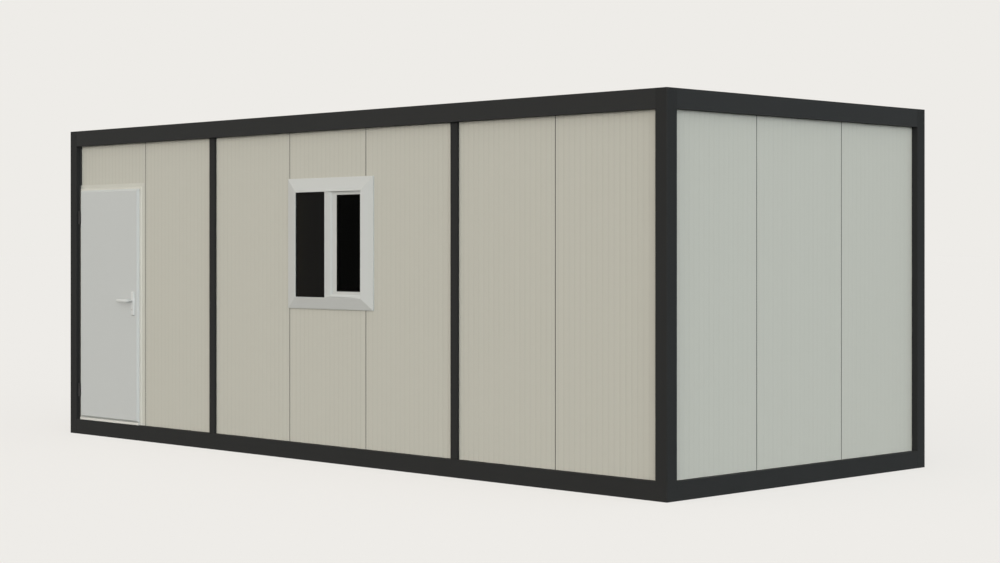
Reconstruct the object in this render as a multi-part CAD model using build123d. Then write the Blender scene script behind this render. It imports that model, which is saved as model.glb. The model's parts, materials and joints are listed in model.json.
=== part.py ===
"""Portable site cabin: a welded frame of folded steel, sandwich wall panels, a hinged door and a
sliding window.

Frame of the model: millimetres, +Z up, origin on the ground at the centre of the footprint.
+X runs to the right as seen from the front, and the front side, with the door and the window,
faces -Y.

Each wall is drawn as if it were the front one. In that drawing frame u runs to the right as seen
from outside, v runs inwards from the outer face of the steel frame, and z is the height. The
function on_side() then turns the piece to the side it belongs to.
"""
import os
from math import hypot

from build123d import *

# ------------------------------------------------------------------ overall sizes
LENGTH = 7000.0            # over the corner posts, along X
WIDTH = 3000.0             # over the corner posts, along Y
HEIGHT = 2700.0            # ground to the top of the frame

# ------------------------------------------------------------------ steel frame
POST = 100.0               # corner post, square
POST_WALL = 4.0
POST_CORNER = 5.0          # outside radius of the fold at the cabin's corner
RAIL_WALL = 4.0
INNER_STEP = 2.0           # rails and panels end this far in front of the posts' inner faces
BOTTOM_RAIL_H = 129.0
TOP_RAIL_H = 136.0
GUTTER_SET = 30.0          # rain gutter behind the outer face of the long top rails
GUTTER_FLOOR = 70.0        # gutter floor under the top of the frame
GUTTER_WALL_H = 34.0       # inner wall of the gutter over its floor
END_LIP = 50.0             # folded down from the top of the end rails, over the roof sheet's end
MID_POST_W = 68.0
MID_POST_PROUD = 23.0      # stands this far in front of the panels
MID_POST_WALL = 3.0
MID_POST_LIP = 12.0
BAY_LEFT = 2070.0          # left end of the cabin to the centre of the first mid post
BAY_RIGHT = 2036.0         # right end of the cabin to the centre of the second mid post

# ------------------------------------------------------------------ wall panels
PANEL_T = 50.0
PANEL_MODULE = 990.0       # cover width of a full panel
PANEL_GAP = 1.0            # hairline between two panels
JOINT_W = 8.0              # groove that two panel edges leave at the outer face
JOINT_D = 7.0
RIB_PITCH = 51.5           # narrow grooves rolled into the outer skin
RIB_D = 1.3
RIB_FLAT = 2.0             # width of a groove's floor
RIB_FLANK = 4.5            # width of each of its sides

# ------------------------------------------------------------------ floor and roof
JOIST_W = 60.0
JOIST_WALL = 3.0
FLOOR_JOISTS = 13
DECK_T = 22.0
UNDER_SHEET_T = 2.0
CEILING_T = 40.0
ROOF_JOIST_W = 50.0
ROOF_JOISTS = 9
PURLIN_W = 60.0
PURLIN_STEP = 650.0
ROOF_SHEET_T = 1.5
ROOF_RIB_PITCH = 250.0
ROOF_RIB_H = 20.0
ROOF_RIB_TOP = 80.0
ROOF_RIB_FLANK = 18.0
ROOF_RISE = 12.0           # the ridge stands this much over the eaves
EAVE_LAP = 22.0            # the sheet reaches this far past the gutter's inner wall
EAVE_CLEAR = 2.0           # sheet over the top of that wall
FIT = 1.0                  # gap where one piece of the frame meets another

# ------------------------------------------------------------------ door
DOOR_W = 948.0             # over the raised face of the door frame
DOOR_TOP = 2188.0          # top of that face over the ground
DOOR_JAMB = 50.0           # face width of the frame
DOOR_FLANGE = 12.0         # frame laps over the panel by this much, and is as proud of it
DOOR_LIP_W = 29.0          # thin lip that laps further over the panel
DOOR_LIP_T = 3.0
DOOR_STRIP = 48.0          # from the raised face to the next joint
THRESHOLD_H = 30.0
LEAF_MARGIN = 19.0         # width of door frame that shows over the leaf and on its lock side
HINGE_MARGIN = 42.0        # the same on the hinge side
LEAF_FOOT = 23.0           # height of threshold that shows under the leaf
LEAF_PROUD = 38.0          # outer face of the leaf in front of the panels
LEAF_PLATE_T = 20.0        # thickness of the outer plate that laps over the frame
LEAF_BEVEL = 16.0
LEAF_CORE_T = 40.0
LEAF_GAP = 6.0             # air between the leaf and its frame
LOCK_GAP = 9.0             # the same on the lock side, where the leaf swings through
HINGE_OUT = 15.0           # hinge axis from the corner post
HINGE_STAND = 16.0         # hinge axis in front of the door frame's face
HINGE_R = 8.0
HINGE_H = 110.0
HINGE_PIN_R = 4.0
HINGE_CLEAR = 0.4
HINGE_TAB_T = 3.0
HINGE_INSET = 240.0        # hinge middle from the leaf's top and foot

# ------------------------------------------------------------------ door handle
HANDLE_BACKSET = 66.0      # lever axis from the leaf's lock edge
HANDLE_Z = 1201.0
PLATE_W = 44.0
PLATE_H = 207.0
PLATE_ABOVE = 78.0         # plate top over the lever axis
PLATE_T = 12.0
PLATE_CORNER = 10.0
PLATE_BEVEL = 7.0
LOCK_DROP = 78.0           # lock cylinder under the lever axis
CYLINDER_R = 8.5
CYLINDER_PROUD = 2.0
CYLINDER_CLEAR = 0.2
SPINDLE = 8.0              # square spindle through the leaf
SPINDLE_BORE_R = 6.5
LEVER_REACH = 158.0        # lever axis to the lever's end
LEVER_OUT = 51.0           # lever's middle line in front of the plate
LEVER_H = 22.0
LEVER_D = 16.0
LEVER_EDGE = 5.5           # chamfer along the lever
LEVER_END = 4.0            # chamfer at its end
LEVER_BEND = 16.0          # radius of the lever's middle line where it leaves the neck
LEVER_CLEAR = 0.5

# ------------------------------------------------------------------ window
WINDOW_X = 3560.0          # middle of the window from the left end
ARCH_W = 1018.0            # over the architrave
ARCH_TOP = 2200.0
ARCH_FOOT = 1181.0
ARCH_SIDE_W = 121.0
ARCH_HEAD_W = 109.0
ARCH_SILL_W = 92.0
ARCH_PROUD = 35.0          # at the inner edge
ARCH_EDGE = 10.0           # thickness at the outer edge
ARCH_LIP = 5.0             # flat strip at the inner edge
WINDOW_FRAME_W = 40.0
COLLAR_W = 14.0            # part of the window frame that reaches forward inside the architrave
GLASS_T = 6.0
GLASS_IN = 9.0             # left pane behind the architrave's inner edge
GLASS_TUCK = 8.0           # pane edge held in its groove
MULLION_AT = 348.0         # clear width of the left light
MULLION_W = 84.0
MULLION_IN = 6.0           # face of the centre post behind the architrave's inner edge
MULLION_BEVEL = 10.0       # slope from that face back to the sash
SILL_RISE = 23.0           # sloped sill in front of the sash
SILL_RUN = 9.0
SASH_STILE = 48.0          # meeting stile, beside the centre post
SASH_SIDE = 18.0           # width of the other stile that shows beside the architrave
SASH_HEAD = 26.0           # height that shows under the architrave
SASH_FOOT = 48.0
SASH_T = 30.0
SASH_IN = 18.0             # face of the right sash behind the architrave's inner edge
SASH_PANE_IN = 4.0         # its pane behind that face
SASH_LAP = 15.0            # left stile of the sash reaches behind the centre post
SASH_TUCK = 8.0            # sash edge held in its track

# ------------------------------------------------------------------ worked out from the above
HALF_L = LENGTH / 2
HALF_W = WIDTH / 2
RAIL_DEPTH = POST - INNER_STEP             # inwards from the outer face of the frame
PANEL_BACK = RAIL_DEPTH
PANEL_RECESS = PANEL_BACK - PANEL_T        # outer face of the panels behind that of the frame
WALL_FOOT = BOTTOM_RAIL_H
WALL_TOP = HEIGHT - TOP_RAIL_H
DECK_FOOT = BOTTOM_RAIL_H - RAIL_WALL
JOIST_FOOT = RAIL_WALL + UNDER_SHEET_T
CEILING_TOP = WALL_TOP + RAIL_WALL
GUTTER_TOP = HEIGHT - GUTTER_FLOOR
GUTTER_LIP = GUTTER_TOP + GUTTER_WALL_H
ROOF_JOIST_H = GUTTER_TOP - RAIL_WALL - FIT - CEILING_TOP   # under the gutter's floor
LONG_CLEAR = HALF_L - POST
END_CLEAR = HALF_W - POST
MID_1 = -HALF_L + BAY_LEFT
MID_2 = HALF_L - BAY_RIGHT
DOOR_LEFT = -LONG_CLEAR
DOOR_RIGHT = DOOR_LEFT + DOOR_W
DOOR_FACE = PANEL_RECESS - DOOR_FLANGE
LEAF_FACE = PANEL_RECESS - LEAF_PROUD
LEAF_SEAT = LEAF_FACE + LEAF_PLATE_T
LEAF_BACK = LEAF_SEAT + LEAF_CORE_T
HINGE_U = DOOR_LEFT + HINGE_OUT
HINGE_V = DOOR_FACE - HINGE_STAND
LEVER_U = DOOR_RIGHT - LEAF_MARGIN - HANDLE_BACKSET
LEVER_BORE_R = hypot(LEVER_H / 2, LEVER_D / 2 - LEVER_EDGE) + LEVER_CLEAR
ARCH_FACE = PANEL_RECESS - ARCH_PROUD
PANE_FACE = ARCH_FACE + GLASS_IN
SASH_FACE = ARCH_FACE + SASH_IN
SASH_PANE = SASH_FACE + SASH_PANE_IN


def on_side(piece, side):
    """Turn a piece drawn as on the front wall to the side that it belongs to."""
    angle, half = {
        "front": (0, HALF_W),
        "right": (90, HALF_L),
        "back": (180, HALF_W),
        "left": (270, HALF_L),
    }[side]
    return Rot(0, 0, angle) * (Pos(0, -half, 0) * piece)


def slab(u0, u1, v0, v1, z0, z1):
    """A plain block between two corners, used for cutting and for square stock."""
    return Pos(u0, v0, z0) * Box(u1 - u0, v1 - v0, z1 - z0, align=(Align.MIN, Align.MIN, Align.MIN))


def extrude_up(points, z0, z1):
    """Extrude a closed outline in (u, v) from z0 to z1."""
    face = make_face(Polyline(*points, close=True))
    return Pos(0, 0, z0) * extrude(face, amount=z1 - z0, dir=(0, 0, 1))


def extrude_along_u(points, u0, u1):
    """Extrude a closed outline in (v, z) from u0 to u1."""
    outline = [(0, v, z) for v, z in points]
    face = make_face(Polyline(*outline, close=True))
    return Pos(u0, 0, 0) * extrude(face, amount=u1 - u0, dir=(1, 0, 0))


# ------------------------------------------------------------------ frame
def corner_post():
    """Square folded post, closed by a cap and a base plate, with its outer corner at u = v = 0."""
    outer = slab(0, POST, 0, POST, 0, HEIGHT)
    outer = fillet(outer.edges().filter_by(Axis.Z).sort_by(Axis.X)[:2].sort_by(Axis.Y)[0], POST_CORNER)
    near, far = POST_WALL, POST - POST_WALL
    return outer - slab(near, far, near, far, POST_WALL, HEIGHT - POST_WALL)


def bottom_rail(half_clear):
    """Folded channel between two posts, open inwards; the panels stand on its upper flange."""
    wall, deep, top = RAIL_WALL, RAIL_DEPTH, BOTTOM_RAIL_H
    outline = [
        (0, 0), (deep, 0), (deep, wall), (wall, wall),
        (wall, top - wall), (deep, top - wall), (deep, top), (0, top),
    ]
    return extrude_along_u(outline, -half_clear, half_clear)


def long_top_rail():
    """Folded top rail of a long side, with the rain gutter folded into its upper half."""
    wall, deep, foot, top = RAIL_WALL, RAIL_DEPTH, WALL_TOP, HEIGHT
    floor = GUTTER_TOP
    lip = GUTTER_LIP
    outline = [
        (0, foot), (deep, foot), (deep, foot + wall), (wall, foot + wall), (wall, top - wall),
        (GUTTER_SET, top - wall), (GUTTER_SET, floor - wall), (deep, floor - wall), (deep, lip),
        (deep - wall, lip), (deep - wall, floor), (GUTTER_SET + wall, floor),
        (GUTTER_SET + wall, top), (0, top),
    ]
    return extrude_along_u(outline, -LONG_CLEAR, LONG_CLEAR)


def end_top_rail():
    """Folded top rail of an end, with a lip turned down over the end of the roof sheet."""
    wall, deep, foot, top = RAIL_WALL, RAIL_DEPTH, WALL_TOP, HEIGHT
    outline = [
        (0, foot), (deep, foot), (deep, foot + wall), (wall, foot + wall), (wall, top - wall),
        (deep - wall, top - wall), (deep - wall, top - END_LIP), (deep, top - END_LIP),
        (deep, top), (0, top),
    ]
    return extrude_along_u(outline, -END_CLEAR, END_CLEAR)


def mid_post(centre):
    """Cover post over a panel joint: a hat section that laps onto both panels."""
    u0, u1 = centre - MID_POST_W / 2, centre + MID_POST_W / 2
    v0, v1 = PANEL_RECESS - MID_POST_PROUD, PANEL_RECESS
    wall = MID_POST_WALL
    outline = [
        (u0, v1), (u0, v0), (u1, v0), (u1, v1), (u1 - MID_POST_LIP, v1),
        (u1 - MID_POST_LIP, v1 - wall), (u1 - wall, v1 - wall), (u1 - wall, v0 + wall),
        (u0 + wall, v0 + wall), (u0 + wall, v1 - wall), (u0 + MID_POST_LIP, v1 - wall),
        (u0 + MID_POST_LIP, v1),
    ]
    return extrude_up(outline, WALL_FOOT, WALL_TOP)


# ------------------------------------------------------------------ walls
def panel(u0, u1):
    """Full-height sandwich panel with narrow rolled grooves and stepped joint edges."""
    left, right = u0 + PANEL_GAP / 2, u1 - PANEL_GAP / 2
    face, back = PANEL_RECESS, PANEL_BACK
    step = (JOINT_W - PANEL_GAP) / 2
    half_flat = RIB_FLAT / 2
    outline = [(left, back), (left, face + JOINT_D), (left + step, face + JOINT_D), (left + step, face)]
    first = left + step + RIB_PITCH / 2
    count = int((right - step - first - half_flat - RIB_FLANK) // RIB_PITCH) + 1
    for i in range(count):
        middle = first + i * RIB_PITCH
        outline += [
            (middle - half_flat - RIB_FLANK, face), (middle - half_flat, face + RIB_D),
            (middle + half_flat, face + RIB_D), (middle + half_flat + RIB_FLANK, face),
        ]
    outline += [(right - step, face), (right - step, face + JOINT_D), (right, face + JOINT_D), (right, back)]
    return extrude_up(outline, WALL_FOOT, WALL_TOP)


def front_joints():
    """Edges of the front panels: the door's panel, full modules beside the posts, cut ones between."""
    return [
        -LONG_CLEAR,
        DOOR_RIGHT + DOOR_STRIP,
        MID_1,
        MID_1 + PANEL_MODULE,
        MID_2 - PANEL_MODULE,
        MID_2,
        MID_2 + PANEL_MODULE,
        LONG_CLEAR,
    ]


def end_joints():
    """Edges of the three end panels: a full module between two that are cut to fit."""
    return [-END_CLEAR, -PANEL_MODULE / 2, PANEL_MODULE / 2, END_CLEAR]


def front_panels():
    """The front panels, with the door cut from the first and the window from those it reaches."""
    edges = front_joints()
    found = [panel(a, b) for a, b in zip(edges, edges[1:])]
    pieces = {}
    lap = DOOR_RIGHT - DOOR_FLANGE
    head = DOOR_TOP - DOOR_FLANGE
    over = slab(-HALF_L, edges[1] + 1, 0, POST, head, HEIGHT)
    beside = slab(lap, edges[1] + 1, 0, POST, 0, head - PANEL_GAP)
    pieces["front_panel_over_door"] = found[0] & over
    pieces["front_panel_beside_door"] = found[0] & beside
    for number, piece in enumerate(found[1:], start=2):
        pieces[f"front_panel_{number}"] = piece - window_cut()
    return pieces


# ------------------------------------------------------------------ door
def door_frame():
    """Door frame with a raised, bevelled face, a thin lip over the panels and a low threshold."""
    foot = WALL_FOOT
    body = slab(DOOR_LEFT, DOOR_RIGHT - DOOR_FLANGE, DOOR_FACE, PANEL_BACK, foot, DOOR_TOP - DOOR_FLANGE)
    flange = slab(DOOR_LEFT, DOOR_RIGHT, DOOR_FACE, PANEL_RECESS, foot, DOOR_TOP)
    chamfered = flange.edges().filter_by(Axis.Z).sort_by(Axis.X)[-2:].sort_by(Axis.Y)[:1]
    chamfered += flange.edges().filter_by(Axis.X).sort_by(Axis.Z)[-2:].sort_by(Axis.Y)[:1]
    flange = chamfer(chamfered, DOOR_FLANGE - DOOR_LIP_T)
    lip = slab(
        DOOR_LEFT, DOOR_RIGHT + DOOR_LIP_W, PANEL_RECESS - DOOR_LIP_T, PANEL_RECESS, foot,
        DOOR_TOP + DOOR_LIP_W,
    )
    hole = slab(
        DOOR_LEFT + DOOR_JAMB, DOOR_RIGHT - DOOR_JAMB, 0, POST, foot + THRESHOLD_H, DOOR_TOP - DOOR_JAMB
    )
    return body + flange + lip - hole


def leaf_edges():
    """Outer plate of the leaf: left, right, foot and head."""
    return (
        DOOR_LEFT + HINGE_MARGIN, DOOR_RIGHT - LEAF_MARGIN, WALL_FOOT + LEAF_FOOT, DOOR_TOP - LEAF_MARGIN
    )


def door_leaf():
    """Leaf with a bevelled outer plate and a core that sits inside the frame."""
    left, right, foot, head = leaf_edges()
    plate = slab(left, right, LEAF_FACE, LEAF_SEAT, foot, head)
    rim = plate.faces().sort_by(Axis.Y)[0].edges()
    plate = chamfer(rim, LEAF_BEVEL)
    core = slab(
        DOOR_LEFT + DOOR_JAMB + LEAF_GAP, DOOR_RIGHT - DOOR_JAMB - LOCK_GAP, LEAF_SEAT, LEAF_BACK,
        WALL_FOOT + THRESHOLD_H + LEAF_GAP, DOOR_TOP - DOOR_JAMB - LEAF_GAP,
    )
    leaf = plate + core
    leaf -= through_leaf(LEVER_U, HANDLE_Z, SPINDLE_BORE_R)
    return leaf - through_leaf(LEVER_U, HANDLE_Z - LOCK_DROP, CYLINDER_R)


def through_leaf(u, z, radius, v0=LEAF_FACE - PLATE_T - 1, v1=LEAF_BACK + PLATE_T + 1):
    """Round bar along v, for the holes through the leaf and for what goes in them."""
    bar = Cylinder(radius, v1 - v0, align=(Align.CENTER, Align.CENTER, Align.MIN))
    return Pos(u, v0, z) * (Rot(-90, 0, 0) * bar)


def hinge_heights():
    """Middles of the two hinges."""
    _, _, foot, head = leaf_edges()
    return [foot + HINGE_INSET, head - HINGE_INSET]


def knuckle(z0, z1, radius):
    """Upright round bar on the hinge axis."""
    bar = Cylinder(radius, z1 - z0, align=(Align.CENTER, Align.CENTER, Align.MIN))
    return Pos(HINGE_U, HINGE_V, z0) * bar


def frame_hinges():
    """Lower knuckles with their pins, each on a tab that stands on the door frame."""
    halves = []
    for z in hinge_heights():
        foot = z - HINGE_H / 2
        tab = slab(
            HINGE_U - HINGE_TAB_T / 2, HINGE_U + HINGE_TAB_T / 2, HINGE_V, DOOR_FACE, foot, z - HINGE_CLEAR
        )
        pin = knuckle(foot, foot + HINGE_H, HINGE_PIN_R)
        halves.append(knuckle(foot, z - HINGE_CLEAR, HINGE_R) + tab + pin)
    return Compound(halves)


def leaf_hinges():
    """Upper knuckles, each on a tab that runs to the edge of the leaf."""
    edge = leaf_edges()[0]
    halves = []
    for z in hinge_heights():
        top = z + HINGE_H / 2
        back = HINGE_V + HINGE_R
        tab = slab(HINGE_U, edge, back - HINGE_TAB_T, back, z, top)
        bore = knuckle(z - 1, top + 1, HINGE_PIN_R + HINGE_CLEAR)
        halves.append(knuckle(z, top, HINGE_R) + tab - bore)
    return Compound(halves)


def handle_plates():
    """Long bevelled plates on both faces of the leaf, bored for the lever and the lock cylinder."""
    top = HANDLE_Z + PLATE_ABOVE
    plates = []
    for v0, outer in ((LEAF_FACE - PLATE_T, 0), (LEAF_BACK, -1)):
        plate = slab(LEVER_U - PLATE_W / 2, LEVER_U + PLATE_W / 2, v0, v0 + PLATE_T, top - PLATE_H, top)
        plate = fillet(plate.edges().filter_by(Axis.Y), PLATE_CORNER)
        plate = chamfer(plate.faces().sort_by(Axis.Y)[outer].edges(), PLATE_BEVEL)
        plate -= through_leaf(LEVER_U, HANDLE_Z, LEVER_BORE_R)
        plate -= through_leaf(LEVER_U, HANDLE_Z - LOCK_DROP, CYLINDER_R)
        plates.append(plate)
    return Compound(plates)


def lock_cylinder():
    """Cylinder that passes through the leaf and both plates."""
    out = PLATE_T + CYLINDER_PROUD
    return through_leaf(
        LEVER_U, HANDLE_Z - LOCK_DROP, CYLINDER_R - CYLINDER_CLEAR, LEAF_FACE - out, LEAF_BACK + out
    )


def lever(v_root, v_line):
    """One bent lever: a neck out of the plate, then the grip towards the hinges."""
    path = FilletPolyline(
        (LEVER_U, v_root, HANDLE_Z), (LEVER_U, v_line, HANDLE_Z),
        (LEVER_U - LEVER_REACH, v_line, HANDLE_Z), radius=LEVER_BEND,
    )
    section = Rectangle(LEVER_H, LEVER_D)
    section = chamfer(section.vertices(), LEVER_EDGE)
    bar = sweep(Plane(origin=path @ 0, x_dir=(0, 0, 1), z_dir=path % 0) * section, path)
    return chamfer(bar.faces().sort_by(Axis.X)[0].edges(), LEVER_END)


def lever_handle():
    """Outer and inner lever on one square spindle."""
    plate_out, plate_in = LEAF_FACE - PLATE_T, LEAF_BACK + PLATE_T
    outer = lever(plate_out + 1, plate_out - LEVER_OUT)
    inner = lever(plate_in - 1, plate_in + LEVER_OUT)
    half = SPINDLE / 2
    spindle = slab(
        LEVER_U - half, LEVER_U + half, plate_out - 1, plate_in + 1, HANDLE_Z - half, HANDLE_Z + half
    )
    return outer + inner + spindle


# ------------------------------------------------------------------ window
def window_clear():
    """Clear opening inside the architrave: left, right, foot and head."""
    middle = -HALF_L + WINDOW_X
    return (
        middle - ARCH_W / 2 + ARCH_SIDE_W, middle + ARCH_W / 2 - ARCH_SIDE_W,
        ARCH_FOOT + ARCH_SILL_W, ARCH_TOP - ARCH_HEAD_W,
    )


def window_cut():
    """Hole for the window frame, through the wall."""
    return through_wall(grown(window_clear(), WINDOW_FRAME_W), 0, POST)


def grown(box, by):
    """The edges of an opening, moved outwards."""
    left, right, foot, head = box
    return left - by, right + by, foot - by, head + by


def through_wall(box, v0, v1):
    """Block over an opening, from depth v0 to v1."""
    left, right, foot, head = box
    return slab(left, right, v0, v1, foot, head)


def architrave():
    """Picture-frame cover that rises from its outer edge to its inner edge, with mitred corners."""
    clear = window_clear()
    left, right, foot, head = grown(clear, ARCH_LIP)
    middle = -HALF_L + WINDOW_X
    rim = PANEL_RECESS - ARCH_EDGE
    plate = slab(middle - ARCH_W / 2, middle + ARCH_W / 2, rim, PANEL_RECESS, ARCH_FOOT, ARCH_TOP)
    low = Polyline(
        (middle - ARCH_W / 2, rim, ARCH_FOOT), (middle + ARCH_W / 2, rim, ARCH_FOOT),
        (middle + ARCH_W / 2, rim, ARCH_TOP), (middle - ARCH_W / 2, rim, ARCH_TOP), close=True,
    )
    high = Polyline(
        (left, ARCH_FACE, foot), (right, ARCH_FACE, foot), (right, ARCH_FACE, head),
        (left, ARCH_FACE, head), close=True,
    )
    crown = loft([make_face(low), make_face(high)], ruled=True)
    rebate = through_wall(grown(clear, COLLAR_W), PANE_FACE, PANEL_RECESS)
    return plate + crown - through_wall(clear, 0, POST) - rebate


def left_pane_box():
    """Edges of the left pane, tucked into the frame and the centre post."""
    left, right, foot, head = window_clear()
    return left - GLASS_TUCK, left + MULLION_AT + GLASS_TUCK, foot - GLASS_TUCK, head + GLASS_TUCK


def sash_box():
    """Outer edges of the right sash, in its track."""
    left, right, foot, head = window_clear()
    return (
        left + MULLION_AT + MULLION_W - SASH_LAP, right + SASH_TUCK, foot - SASH_TUCK, head + SASH_TUCK
    )


def sash_light():
    """Clear opening of the right sash."""
    left, right, foot, head = window_clear()
    start = left + MULLION_AT + MULLION_W + SASH_STILE
    return start, right - SASH_SIDE, foot + SASH_FOOT, head - SASH_HEAD


def window_frame():
    """Fixed frame in the wall: collar, body with the sash's track, centre post and sloped sill."""
    clear = window_clear()
    left, right, foot, head = clear
    pane_back = PANE_FACE + GLASS_T
    collar = through_wall(grown(clear, COLLAR_W), pane_back, PANEL_RECESS)
    body = through_wall(grown(clear, WINDOW_FRAME_W), PANEL_RECESS, PANEL_BACK)
    track = through_wall(grown(clear, SASH_TUCK + FIT), SASH_FACE - FIT, SASH_FACE + SASH_T + FIT)
    start = left + MULLION_AT
    post = slab(start, start + MULLION_W, ARCH_FACE + MULLION_IN, SASH_FACE - FIT, foot, head)
    post = chamfer(post.edges().filter_by(Axis.Z).sort_by(Axis.X)[-2:].sort_by(Axis.Y)[0], MULLION_BEVEL)
    groove = through_wall(left_pane_box(), PANE_FACE, pane_back)
    slope = [
        (ARCH_FACE, foot), (SASH_FACE - FIT, foot), (SASH_FACE - FIT, foot + SILL_RISE),
        (ARCH_FACE + SILL_RUN, foot + SILL_RISE),
    ]
    sill = extrude_along_u(slope, start + GLASS_TUCK, right)
    return collar + body - through_wall(clear, 0, POST) - track + (post - groove) + sill


def right_sash():
    """Sliding sash behind the centre post, with a groove for its pane."""
    body = through_wall(sash_box(), SASH_FACE, SASH_FACE + SASH_T)
    light = sash_light()
    groove = through_wall(grown(light, GLASS_TUCK), SASH_PANE, SASH_PANE + GLASS_T)
    return body - through_wall(light, 0, POST) - groove


def window_glass():
    """Two panes: the left one near the outer face, the right one in its sash."""
    near = through_wall(left_pane_box(), PANE_FACE, PANE_FACE + GLASS_T)
    deep = through_wall(grown(sash_light(), GLASS_TUCK), SASH_PANE, SASH_PANE + GLASS_T)
    return Compound([near, deep])


# ------------------------------------------------------------------ floor and roof
def spread(count, reach):
    """Evenly spaced places from -reach to +reach."""
    return [-reach + 2 * reach * i / (count - 1) for i in range(count)]


def floor_joists():
    """Box-section joists across the cabin, in the channels of the long bottom rails."""
    reach = HALF_W - RAIL_WALL
    high = DECK_FOOT - JOIST_FOOT
    tube = Box(JOIST_W, 2 * reach, high)
    bore = Box(JOIST_W - 2 * JOIST_WALL, 2 * reach, high - 2 * JOIST_WALL)
    joist = Pos(0, 0, JOIST_FOOT + high / 2) * (tube - bore)
    return Compound([Pos(x, 0, 0) * joist for x in spread(FLOOR_JOISTS, LONG_CLEAR - JOIST_W)])


def floor_deck():
    """Floor board between the walls, on the joists."""
    return slab(-LONG_CLEAR, LONG_CLEAR, -END_CLEAR, END_CLEAR, DECK_FOOT, DECK_FOOT + DECK_T)


def floor_under_sheet():
    """Flat sheet under the joists, held on the lower flanges of the long rails."""
    reach = HALF_W - RAIL_WALL
    return slab(-LONG_CLEAR, LONG_CLEAR, -reach, reach, RAIL_WALL, JOIST_FOOT)


def ceiling():
    """Ceiling panel under the roof joists."""
    return slab(-LONG_CLEAR, LONG_CLEAR, -END_CLEAR, END_CLEAR, CEILING_TOP - CEILING_T, CEILING_TOP)


def roof_joists():
    """Box-section joists across the roof, on the lower flanges of the long top rails."""
    reach = HALF_W - RAIL_WALL
    tube = Box(ROOF_JOIST_W, 2 * reach, ROOF_JOIST_H)
    bore = Box(ROOF_JOIST_W - 2 * JOIST_WALL, 2 * reach, ROOF_JOIST_H - 2 * JOIST_WALL)
    joist = Pos(0, 0, CEILING_TOP + ROOF_JOIST_H / 2) * (tube - bore)
    return Compound([Pos(x, 0, 0) * joist for x in spread(ROOF_JOISTS, LONG_CLEAR - 2 * ROOF_JOIST_W)])


def pan_height(y):
    """Underside of the roof sheet's pans at a distance from the ridge."""
    eave = HALF_W - RAIL_DEPTH + EAVE_LAP
    return GUTTER_LIP + EAVE_CLEAR + ROOF_RISE * (1 - abs(y) / eave)


def roof_purlins():
    """Purlins along the roof, each as tall as the fall of the sheet asks for."""
    foot = CEILING_TOP + ROOF_JOIST_H
    half = PURLIN_W / 2
    purlins = []
    for y in (-2 * PURLIN_STEP, -PURLIN_STEP, 0, PURLIN_STEP, 2 * PURLIN_STEP):
        top = min(pan_height(y - half), pan_height(y + half))
        bar = slab(-LONG_CLEAR + FIT, LONG_CLEAR - FIT, y - half, y + half, foot, top)
        bore = slab(
            -LONG_CLEAR, LONG_CLEAR, y - half + JOIST_WALL, y + half - JOIST_WALL,
            foot + JOIST_WALL, top - JOIST_WALL,
        )
        purlins.append(bar - bore)
    return Compound(purlins)


def roof_sheet():
    """Trapezoidal sheet that falls from the ridge to both gutters, its ribs across the cabin."""
    ridge = pan_height(0)
    eave = HALF_W - RAIL_DEPTH + EAVE_LAP
    reach = LONG_CLEAR - FIT
    half_top = ROOF_RIB_TOP / 2
    upper = []
    for x in spread(int(2 * reach // ROOF_RIB_PITCH), reach - ROOF_RIB_PITCH / 2):
        upper += [
            (x - half_top - ROOF_RIB_FLANK, 0), (x - half_top, ROOF_RIB_H),
            (x + half_top, ROOF_RIB_H), (x + half_top + ROOF_RIB_FLANK, 0),
        ]
    line = [(-reach, 0)] + upper + [(reach, 0)]
    outline = [(x, 0, ridge + z + ROOF_SHEET_T) for x, z in line]
    outline += [(x, 0, ridge + z) for x, z in reversed(line)]
    face = make_face(Polyline(*outline, close=True))
    fall = Vector(0, eave, -ROOF_RISE)
    back = extrude(face, amount=fall.length, dir=fall.normalized())
    front = extrude(face, amount=fall.length, dir=Vector(0, -eave, -ROOF_RISE).normalized())
    return back + front


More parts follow.
